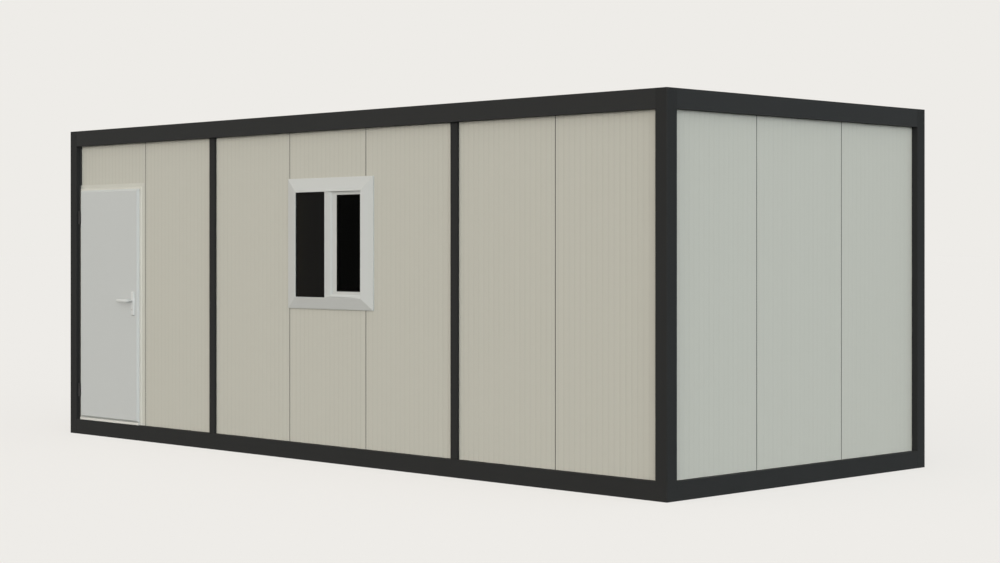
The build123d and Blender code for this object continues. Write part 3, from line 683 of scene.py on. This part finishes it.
def lathe(form, origin, axis, profile, count=24):
    """Turn a profile of (radius, height) pairs round an axis that leaves from the origin."""
    axis = Vector(axis)
    spoke = axis.orthogonal().normalized()
    spokes = [Matrix.Rotation(2 * math.pi * i / count, 3, axis) @ spoke for i in range(count)]
    loft(form, [
        [Vector(origin) + axis * height + s * radius for s in spokes] for radius, height in profile
    ])


def mitred_frame(form, opening, profile):
    """Run a profile of (inset, y) pairs round an opening (left, right, foot, head)."""
    left, right, foot, head = opening
    turns = ((left, foot, 1, 1), (right, foot, -1, 1), (right, head, -1, -1), (left, head, 1, -1))
    loft(form, [
        [(x + dx * inset, y, z + dz * inset) for inset, y in profile] for x, z, dx, dz in turns
    ], looped=True)


def new_piece(name, body, slot, finish, build, *given):
    """A piece whose mesh is filled by build(form, *given)."""
    form = bmesh.new()
    build(form, *given)
    bmesh.ops.recalc_face_normals(form, faces=form.faces)
    mesh = bpy.data.meshes.new(name)
    form.to_mesh(mesh)
    form.free()
    mesh.shade_smooth()
    mesh.set_sharp_from_angle(angle=SMOOTH_ANGLE)
    mesh.materials.append(finish)
    piece = bpy.data.objects.new(name, mesh)
    scene.collection.objects.link(piece)
    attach(piece, body)
    print(name, "on", body, "-", len(mesh.polygons), "faces")
    return piece


# %% [markdown]
# ## Seals between the panels
# Two sandwich panels leave a groove where they meet, and it is closed with a bead of sealant just
# below the face. The bead is coloured near black as painted shade, standing in for the shade deep
# in the groove. The posts hide some of the joints, and the window's trim covers a stretch of two
# more, so each bead runs only where it would be seen.

# %% Joint seals
SEAL_HALF = 0.0041         # half a bead's width
SEAL_SUNK = 0.0010         # its crown under the wall face
SEAL_EDGE = 0.0018         # its edges under the wall face
SEAL_FOOT = 0.0068         # its foot, just short of the groove's floor
front_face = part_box("front_panel_2")[0].y
back_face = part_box("back_panels")[1].y
left_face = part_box("left_end_panels")[0].x
right_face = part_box("right_end_panel_1")[1].x
wall_foot, wall_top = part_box("front_panel_2")[0].z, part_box("front_panel_2")[1].z
trim_low, trim_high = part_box("window_architrave")


def meeting(first, second, side):
    """Middle of the gap between two neighbouring panels, along x (0) or y (1)."""
    return (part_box(first)[1][side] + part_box(second)[0][side]) / 2


def seal_beads(form, beads):
    """Upright beads; each is (point on the wall face, direction inwards, foot, top)."""
    outline = (
        (-SEAL_HALF, SEAL_FOOT), (-SEAL_HALF, SEAL_EDGE), (-SEAL_HALF / 2, SEAL_SUNK),
        (SEAL_HALF / 2, SEAL_SUNK), (SEAL_HALF, SEAL_EDGE), (SEAL_HALF, SEAL_FOOT),
    )
    for point, inwards, foot, top in beads:
        point, inwards = Vector(point), Vector(inwards)
        across = Vector((-inwards.y, inwards.x, 0))
        loft(form, [
            [point + across * u + inwards * v + Vector((0, 0, z)) for u, v in outline]
            for z in (foot, top)
        ])


joints = [
    meeting("front_panel_" + first, "front_panel_" + second, 0)
    for first, second in (("over_door", "2"), ("3", "4"), ("4", "5"), ("6", "7"))
]
end_joints = [
    meeting("right_end_panel_" + first, "right_end_panel_" + second, 1)
    for first, second in (("1", "2"), ("2", "3"))
]
beads = []
for x in joints:
    beads.append(((x, back_face, 0), (0, -1, 0), wall_foot, wall_top))
    if trim_low.x < x < trim_high.x:
        beads.append(((x, front_face, 0), (0, 1, 0), wall_foot, trim_low.z))
        beads.append(((x, front_face, 0), (0, 1, 0), trim_high.z, wall_top))
    else:
        beads.append(((x, front_face, 0), (0, 1, 0), wall_foot, wall_top))
for y in end_joints:
    beads.append(((right_face, y, 0), (-1, 0, 0), wall_foot, wall_top))
    beads.append(((left_face, y, 0), (1, 0, 0), wall_foot, wall_top))
new_piece("panel_joint_seals", "cabin", "wall_panel", sealant_with_painted_shade, seal_beads, beads)

# %% [markdown]
# ## Window panes and their gaskets
# Both panes are plain sheets with ground edges, and each has its own glass, so they replace the
# one CAD node that holds them. The left one stands in the window's frame and the right one in the
# sliding sash, which lies deeper.

# %% Panes
TUCK = 0.008               # pane edge hidden in its groove
PANE_T = 0.006
GROUND = 0.0005            # ground off its edges
LEFT_LIGHT_W = 0.348       # clear width of the left light
STILE_W = 0.048            # the sash's meeting stile
SASH_LAP = 0.015           # how far that stile reaches behind the centre post
SASH_FOOT_H = 0.048
SASH_HEAD_H = 0.026
glass_low, glass_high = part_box("window_glass")
sash_low, sash_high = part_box("window_sash")
clear_left = glass_low.x + TUCK
clear_foot, clear_head = sash_low.z + TUCK, sash_high.z - TUCK
left_light = (clear_left, clear_left + LEFT_LIGHT_W, clear_foot, clear_head)
sash_light = (
    sash_low.x + SASH_LAP + STILE_W, glass_high.x - TUCK,
    clear_foot + SASH_FOOT_H, clear_head - SASH_HEAD_H,
)


def pane(form, light, y):
    """A sheet of glass with ground edges, whose outer face is at y."""
    left, right, foot, head = light
    rings = []
    for depth, cut in ((0, GROUND), (GROUND, 0), (PANE_T - GROUND, 0), (PANE_T, GROUND)):
        x0, x1 = left - TUCK + cut, right + TUCK - cut
        z0, z1 = foot - TUCK + cut, head + TUCK - cut
        rings.append([(x, y + depth, z) for x, z in ((x0, z0), (x1, z0), (x1, z1), (x0, z1))])
    loft(form, rings)


outer_pane_y = glass_low.y
sash_pane_y = glass_high.y - PANE_T
for name, finish, light, y in (
    ("outer_pane", lit_outer_glass, left_light, outer_pane_y),
    ("sash_pane", shaded_sash_glass, sash_light, sash_pane_y),
):
    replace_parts(new_piece(name, "cabin", "window_glass", finish, pane, light, y), "window_glass")

# %% [markdown]
# A black rubber gasket closes each pane against its frame on both faces. It is a mitred frame with
# a soft slope towards the glass.

# %% Gaskets
GASKET_W = 0.0075
GASKET_T = 0.0032
WRAP = 0.0004              # the gasket starts this far inside the frame's edge


def gaskets(form, light, y):
    """Gasket on the outer and on the inner face of a pane."""
    for face, out in ((y, -1), (y + PANE_T, 1)):
        mitred_frame(form, light, [
            (-WRAP, face), (-WRAP, face + out * GASKET_T), (GASKET_W * 0.4, face + out * GASKET_T),
            (GASKET_W * 0.85, face + out * GASKET_T * 0.5), (GASKET_W, face),
        ])


for name, light, y in (
    ("outer_pane_gasket", left_light, outer_pane_y), ("sash_pane_gasket", sash_light, sash_pane_y),
):
    new_piece(name, "cabin", "window_plastic", rubber, gaskets, light, y)

# %% [markdown]
# ## Door seal
# The outer plate of the leaf laps over its frame and leaves a small gap all round. A pale soft
# seal is fixed to the back of the plate, close to its edge, and fills that gap when the door is
# shut. It moves with the leaf and never rubs on the frame, which it clears by a hair.

# %% Door seal
SEAL_W = 0.009
SEAL_CLEAR = 0.0002        # air between the seal and the door frame
SEAL_IN = 0.0006           # from the leaf's edge to the seal; to its bulge it is a third of that
PLATE_DEPTH = 0.020        # thickness of the leaf's outer plate
leaf_low, leaf_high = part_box("door_leaf")
seat_y = leaf_low.y + PLATE_DEPTH
stop_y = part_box("door_frame")[0].y - SEAL_CLEAR


def door_seal(form, edges):
    """A bulb seal behind the rim of the leaf."""
    middle = (seat_y + stop_y) / 2
    mitred_frame(form, edges, [
        (SEAL_IN, seat_y), (SEAL_IN / 3, middle), (SEAL_IN, stop_y), (SEAL_W, stop_y),
        (SEAL_W, seat_y),
    ])


leaf_edges = (leaf_low.x, leaf_high.x, leaf_low.z, leaf_high.z)
new_piece("door_seal", "door", "door_skin", pale_rubber, door_seal, leaf_edges)

# %% [markdown]
# ## Foot bar, corner strips and cover trim
# Right under the leaf a pale bar on the door frame sheds the rain. It comes forward almost to the
# face of the leaf and leaves a narrow gap to it. On the hinge side painted steel strips close the
# corner beside the post, one along the door frame and one on the wall above it; they take the
# lighter frame paint, painted light against the shade of the corner. The thin lip of the door frame
# carries a cover trim in the wall's coating, painted a shade paler as painted light along the
# frame, mitred at its corner.

# %% Foot bar, corner strips and cover trim
HAIR = 0.0005              # how far pieces are let into each other, or kept apart
BED = 0.0002               # the same for thin flat strips
BAR_NOSE = 0.001
BAR_FALL = 0.0015          # how far the top of the bar slopes down
BAR_GAP = 0.0015           # air between the bar and the foot of the leaf
BAR_SUNK = 0.002           # how far the bar stays behind the face of the leaf
DOOR_STRIP_W = 0.012
WALL_STRIP_W = 0.016
STRIP_OUT = 0.012          # how far a strip comes forward along the post
STRIP_FOLD = 0.007         # and at its second fold
LIP_W = 0.029              # lip of the door frame, and how far it stands on the wall
LIP_T = 0.003
TRIM_T = 0.0012
frame_low, frame_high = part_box("door_frame")


def foot_bar(form):
    """A bar under the leaf, with a sloping top and a rounded nose."""
    front, back = leaf_low.y + BAR_SUNK, frame_low.y + HAIR
    foot, top = frame_low.z + HAIR, leaf_low.z - BAR_GAP
    outline = (
        (back, foot), (front + BAR_NOSE, foot), (front, foot + BAR_NOSE),
        (front, top - BAR_FALL - BAR_NOSE), (front + BAR_NOSE, top - BAR_FALL), (back, top),
    )
    loft(form, [[(x, y, z) for y, z in outline] for x in (leaf_low.x, leaf_high.x)])


def corner_strip(form, face, wide, foot, top):
    """A folded strip in the corner between the post and a face beside it."""
    outline = (
        (0.0, face), (0.0, face - STRIP_OUT), (wide * 0.4, face - STRIP_OUT),
        (wide * 0.8, face - STRIP_FOLD), (wide, face),
    )
    loft(form, [[(frame_low.x + HAIR + out, y, z) for out, y in outline] for z in (foot, top)])


def cover_trim(form):
    """A flat strip on the lip, up the lock side and along the head, with thinned edges."""
    back = wall_face - LIP_T + BED
    outline = (
        (HAIR, back), (HAIR, back - TRIM_T),
        (LIP_W - 3 * HAIR, back - TRIM_T), (LIP_W - HAIR, back),
    )
    foot, left = frame_low.z + 2 * HAIR, frame_low.x + WALL_STRIP_W
    side, head = frame_high.x - LIP_W, frame_high.z - LIP_W
    loft(form, [
        [(side + out, y, foot) for out, y in outline],
        [(side + out, y, head + out) for out, y in outline],
        [(left, y, head + out) for out, y in outline],
    ])


wall_low, wall_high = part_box("front_panel_over_door")
wall_face = wall_low.y
new_piece("door_foot_bar", "cabin", "door_frame_plastic", pale_rubber, foot_bar)
# the corner strips take the lighter frame paint, as painted light against the shade of their corner
new_piece(
    "door_corner_strip", "cabin", "frame_steel", lit_frame_paint, corner_strip,
    frame_low.y + HAIR, DOOR_STRIP_W, frame_low.z + 2 * HAIR, frame_high.z - 2 * HAIR,
)
new_piece(
    "wall_corner_strip", "cabin", "frame_steel", lit_frame_paint, corner_strip,
    wall_face + HAIR, WALL_STRIP_W, frame_high.z + HAIR, wall_high.z - 2 * HAIR,
)
# the trim's paler coating is painted light
new_piece("door_cover_trim", "cabin", "wall_panel", lit_trim_coat, cover_trim)

# %% [markdown]
# ## Lever handle
# Outside and inside there is one bent lever: a round neck, a tight bend and a flat oval grip that
# thins towards its rounded end. The path is worked out from a few lengths, and superellipse rings
# are set along it. A round bush closes the hole in the plate where the neck comes out.

# %% Levers
NECK_R = 0.0085
BEND_R = 0.016
BEND_STEPS = 8
LEVER_REACH = 0.158        # from the lever's axis to its end
LEVER_OUT = 0.051          # from the plate to the grip's middle line
GRIP_HALF_H = 0.0125
GRIP_HALF_D = 0.0078
GRIP_STEPS = 6
TIP_HALF_H = 0.0112
TIP_HALF_D = 0.0060
TIP_STEPS = 5
BORE_R = 0.0116            # hole in the plate round the neck
plates_low, plates_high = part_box("handle_plates")
lever_x = (plates_low.x + plates_high.x) / 2
lever_low, lever_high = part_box("lever_handle")
lever_z = (lever_low.z + lever_high.z) / 2


def oval(centre, ahead, half_height, half_depth, count=20, power=2.5):
    """A superellipse ring square to the direction ahead, which lies level."""
    aside = Vector((-ahead.y, ahead.x, 0))
    ring = []
    for i in range(count):
        angle = 2 * math.pi * i / count
        part = [math.copysign(abs(f) ** (2 / power), f) for f in (math.cos(angle), math.sin(angle))]
        ring.append(centre + aside * half_depth * part[0] + Vector((0, 0, half_height * part[1])))
    return ring


def lever(form, plate_y, out):
    """One lever; out is -1 for the outer side of the door and +1 for the inner side."""
    away, along = Vector((0, out, 0)), Vector((-1, 0, 0))
    root = Vector((lever_x, plate_y, lever_z))
    bend_start = LEVER_OUT - BEND_R
    neck = (-0.002, 0.010, bend_start * 0.8)
    rings = [oval(root + away * d, away, NECK_R, NECK_R) for d in neck]
    for i in range(BEND_STEPS + 1):
        share = i / BEND_STEPS
        angle = math.pi / 2 * share
        centre = root + away * (bend_start + BEND_R * math.sin(angle))
        centre += along * BEND_R * (1 - math.cos(angle))
        height = NECK_R + (GRIP_HALF_H - NECK_R) * share
        depth = NECK_R + (GRIP_HALF_D - NECK_R) * share
        ahead = away * math.cos(angle) + along * math.sin(angle)
        rings.append(oval(centre, ahead, height, depth))
    grip_root = root + away * LEVER_OUT
    grip_end = LEVER_REACH - TIP_HALF_D
    for i in range(1, GRIP_STEPS + 1):
        share = i / GRIP_STEPS
        centre = grip_root + along * (BEND_R + (grip_end - BEND_R) * share)
        height = GRIP_HALF_H + (TIP_HALF_H - GRIP_HALF_H) * share ** 2
        depth = GRIP_HALF_D + (TIP_HALF_D - GRIP_HALF_D) * share ** 2
        rings.append(oval(centre, along, height, depth))
    for i in range(1, TIP_STEPS):
        angle = math.pi / 2 * i / TIP_STEPS
        centre = grip_root + along * (grip_end + TIP_HALF_D * math.sin(angle))
        shrink = 0.25 + 0.75 * math.cos(angle)
        rings.append(oval(centre, along, TIP_HALF_H * shrink, TIP_HALF_D * shrink))
    loft(form, rings)


def levers(form):
    """Both levers and the bushes in the plates."""
    bush = (
        (BORE_R - 0.0006, -0.006), (BORE_R - 0.0002, -0.0002), (BORE_R - 0.0009, 0.0005),
        (NECK_R, 0.0009),
    )
    for plate_y, out in ((plates_low.y, -1), (plates_high.y, 1)):
        lever(form, plate_y, out)
        lathe(form, (lever_x, plate_y, lever_z), (0, out, 0), bush)


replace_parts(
    new_piece("lever_pair", "handle", "handle_plastic", handle_white, levers), "lever_handle"
)

# %% [markdown]
# ## Lock and screws
# The lock shows as a round metal plug in each plate with a narrow slot for the key. The plug is a
# loft whose rings change from circles to the outline of the slot, so the slot is really sunk in.

# %% Lock plugs
PLUG_R = 0.0083
PLUG_PROUD = 0.0016
PLUG_POINTS = 32
SLOT_HALF_W = 0.0012
SLOT_HALF_H = 0.0046
SLOT_DEPTH = 0.006
lock_low, lock_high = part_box("lock_cylinder")
lock_z = (lock_low.z + lock_high.z) / 2


def plug(form, plate_y, out):
    """A turned plug with a sunk key slot."""
    angles = [2 * math.pi * i / PLUG_POINTS for i in range(PLUG_POINTS)]
    rings = []
    for wide, high, depth in (
        (PLUG_R, PLUG_R, -0.008),
        (PLUG_R, PLUG_R, PLUG_PROUD - 0.0006),
        (PLUG_R - 0.0007, PLUG_R - 0.0007, PLUG_PROUD),
        (SLOT_HALF_W * 1.5, SLOT_HALF_H * 1.1, PLUG_PROUD),
        (SLOT_HALF_W, SLOT_HALF_H, PLUG_PROUD - 0.0005),
        (SLOT_HALF_W, SLOT_HALF_H, PLUG_PROUD - SLOT_DEPTH),
    ):
        y = plate_y + out * depth
        rings.append([
            (lever_x + wide * math.cos(a), y, lock_z + high * math.sin(a)) for a in angles
        ])
    loft(form, rings)


def plugs(form):
    """The plug of the outer plate and that of the inner one."""
    plug(form, plates_low.y, -1)
    plug(form, plates_high.y, 1)


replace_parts(new_piece("lock_plugs", "door", "lock_metal", brushed, plugs), "lock_cylinder")

# %% [markdown]
# The inner plate also shows its two fixing screws. A screw head is round like a lathe's work, but
# its cross is made by pressing four points of the inner rings down, which is enough at this size.

# %% Screw heads
HEAD_POINTS = 16
HEAD_RINGS = ((1.0, -0.0015), (1.0, 0.0), (0.9, 0.0004), (0.62, 0.0006), (0.55, None), (0.12, None))
SMALL_HEAD_R = 0.003
PLATE_SCREW_IN = 0.022     # screw from the end of its plate


def screw_head(form, centre, out, radius=0.0035):
    """A countersunk head with a cross pressed into it."""
    centre, out = Vector(centre), Vector(out)
    spoke = out.orthogonal().normalized()
    rings = []
    for share, sunk in HEAD_RINGS:
        ring = []
        for i in range(HEAD_POINTS):
            turned = Matrix.Rotation(2 * math.pi * i / HEAD_POINTS, 3, out) @ spoke
            depth = (-0.0010 if i % 4 == 0 else 0.0006) if sunk is None else sunk
            ring.append(centre + turned * radius * share + out * depth)
        rings.append(ring)
    loft(form, rings)


def plate_screws(form):
    """Two screws in the inner plate of the handle."""
    for z in (plates_low.z + PLATE_SCREW_IN, plates_high.z - PLATE_SCREW_IN):
        screw_head(form, (lever_x, plates_high.y, z), (0, 1, 0))


new_piece("handle_plate_screws", "door", "lock_metal", brushed, plate_screws)

# %% [markdown]
# ## Hinges
# The CAD hinges have their knuckles and pins. What is added is the domed cap that closes each
# end of a knuckle, and the screws that hold the leaf's tab.

# %% Hinge caps and screws
HINGE_INSET = 0.240        # hinge middle from the leaf's top and foot
HINGE_HALF = 0.055
TAB_T = 0.003
TAB_SCREWS = (0.014, 0.041)     # screws over the hinge's middle
TAB_SCREW_IN = 0.009       # and from the edge of the tab
CAP_R = 0.0079
CAP_PROFILE = (
    (CAP_R, -0.0005), (CAP_R, 0.0008), (CAP_R - 0.0008, 0.0022), (0.0048, 0.0034), (0.0015, 0.0039),
)
pin_low, pin_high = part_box("door_hinges_frame")
knuckle_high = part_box("door_hinges_leaf")[1]
pin_x = (pin_low.x + pin_high.x) / 2
pin_y = pin_low.y + (pin_high.x - pin_low.x) / 2
hinge_heights = (leaf_low.z + HINGE_INSET, leaf_high.z - HINGE_INSET)


def hinge_caps(form, out):
    """A domed cap on one end of each hinge; out is -1 for the foot and +1 for the head."""
    for z in hinge_heights:
        lathe(form, (pin_x, pin_y, z + out * HINGE_HALF), (0, 0, out), CAP_PROFILE)


def hinge_screws(form):
    """Screws through each tab of the leaf, close to the leaf's edge."""
    x, y = knuckle_high.x - TAB_SCREW_IN, knuckle_high.y - TAB_T
    for middle in hinge_heights:
        for over in TAB_SCREWS:
            screw_head(form, (x, y, middle + over), (0, -1, 0), SMALL_HEAD_R)


new_piece("hinge_foot_caps", "cabin", "hinge_steel", dark_paint, hinge_caps, -1)
new_piece("hinge_head_caps", "door", "hinge_steel", dark_paint, hinge_caps, 1)
new_piece("hinge_tab_screws", "door", "lock_metal", brushed, hinge_screws)

# %% [markdown]
# ## Door edge and threshold
# With the door open, its lock edge and the jamb show a steel face plate each. The plates have round
# ends, so they are one outline of two half circles, lofted with a small bevel.

# %% Face plates
FACE_PLATE_HALF_H = 0.110
KEEPER_HALF_H = 0.085
FACE_PLATE_HALF_W = 0.009
FACE_PLATE_T = 0.0012
FACE_PLATE_DROP = 0.035    # its middle under the lever's axis
FACE_SCREW_IN = 0.014      # screw from the end of its plate
ARC_STEPS = 8
LOCK_SLOT_X = 0.009        # air between the leaf's lock edge and the jamb
JAMB_W = 0.050
JAMB_LAP = 0.012           # how far the frame's face laps over the panel beside it
jamb_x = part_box("front_panel_beside_door")[0].x + JAMB_LAP - JAMB_W
core_x = jamb_x - LOCK_SLOT_X
core_y = (seat_y + leaf_high.y) / 2


def round_plate(form, centre, out, half_height, half_width):
    """An upright plate with round ends that faces along x."""
    rings = []
    for depth, cut in ((-0.001, 0.0), (FACE_PLATE_T * 0.6, 0.0), (FACE_PLATE_T, 0.0006)):
        wide, straight = half_width - cut, half_height - half_width
        ring = []
        for middle, start in ((straight, 0), (-straight, math.pi)):
            for i in range(ARC_STEPS + 1):
                angle = start + math.pi * i / ARC_STEPS
                y = centre[1] + wide * math.cos(angle)
                z = centre[2] + middle + wide * math.sin(angle)
                ring.append((centre[0] + out * depth, y, z))
        rings.append(ring)
    loft(form, rings)


def lock_face(form, x, out, half_height):
    """A face plate and its two screws."""
    centre = (x, core_y, lever_z - FACE_PLATE_DROP)
    round_plate(form, centre, out, half_height, FACE_PLATE_HALF_W)
    for side in (-1, 1):
        z = centre[2] + side * (half_height - FACE_SCREW_IN)
        screw_head(form, (x + out * FACE_PLATE_T, core_y, z), (out, 0, 0), SMALL_HEAD_R)


new_piece(
    "lock_face_plate", "door", "lock_metal", brushed, lock_face, core_x, 1, FACE_PLATE_HALF_H
)
new_piece(
    "lock_keeper_plate", "cabin", "lock_metal", brushed, lock_face, jamb_x, -1, KEEPER_HALF_H
)

# %% [markdown]
# The threshold has a ribbed metal strip that takes the wear. One outline, drawn across it, is
# lofted from jamb to jamb.

# %% Threshold strip
STRIP_RIBS = 7
STRIP_T = 0.0010
STRIP_RIB = 0.0008
STRIP_IN = 0.004           # from the faces of the door frame
THRESHOLD_H = 0.030


def threshold_strip(form):
    """A thin strip with rounded ribs along the threshold."""
    y0, y1 = frame_low.y + STRIP_IN, frame_high.y - STRIP_IN
    x0, x1 = frame_low.x + JAMB_W + 2 * HAIR, jamb_x - 2 * HAIR
    foot = frame_low.z + THRESHOLD_H - BED
    flat = frame_low.z + THRESHOLD_H + STRIP_T
    pitch = (y1 - y0) / STRIP_RIBS
    outline = [(y1, foot), (y0, foot), (y0, flat)]
    for i in range(STRIP_RIBS):
        middle = y0 + (i + 0.5) * pitch
        for aside, over in ((-0.3, 0), (-0.15, STRIP_RIB), (0.15, STRIP_RIB), (0.3, 0)):
            outline.append((middle + pitch * aside, flat + over))
    outline.append((y1, flat))
    loft(form, [[(x, y, height) for y, height in outline] for x in (x0, x1)])


new_piece("threshold_strip", "cabin", "galvanised_steel", zinc, threshold_strip)

# %% [markdown]
# ## Roof screws
# The roof sheet is held down through the crown of every rib with hexagon screws on sealing
# washers, one row over each purlin beside the ridge. They follow the fall of the roof. All of them
# are one mesh, filled by two nested loops.

# %% Roof screws
RIB_PITCH = 0.250
PURLINS = (-1.30, -0.65, 0.65, 1.30)
ROOF_RISE = 0.012          # the ridge stands this much over the eaves
WASHER = ((0.0090, -0.0003), (0.0090, 0.0008), (0.0075, 0.0014), (0.0050, 0.0015))
HEXAGON = ((0.0042, 0.0010), (0.0042, 0.0046), (0.0036, 0.0052), (0.0010, 0.0054))
roof_low, roof_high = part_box("roof_sheet")
rib_count = int((roof_high.x - roof_low.x) // RIB_PITCH)
rib_reach = (roof_high.x - roof_low.x - RIB_PITCH) / 2


def roof_screws(form):
    """A washer and a hexagon head on each rib over each purlin."""
    for y in PURLINS:
        z = roof_high.z - ROOF_RISE * abs(y) / roof_high.y
        for i in range(rib_count):
            x = -rib_reach + 2 * rib_reach * i / (rib_count - 1)
            lathe(form, (x, y, z), (0, 0, 1), WASHER, count=12)
            lathe(form, (x, y, z), (0, 0, 1), HEXAGON, count=6)


new_piece("roof_screws", "cabin", "galvanised_steel", zinc, roof_screws)
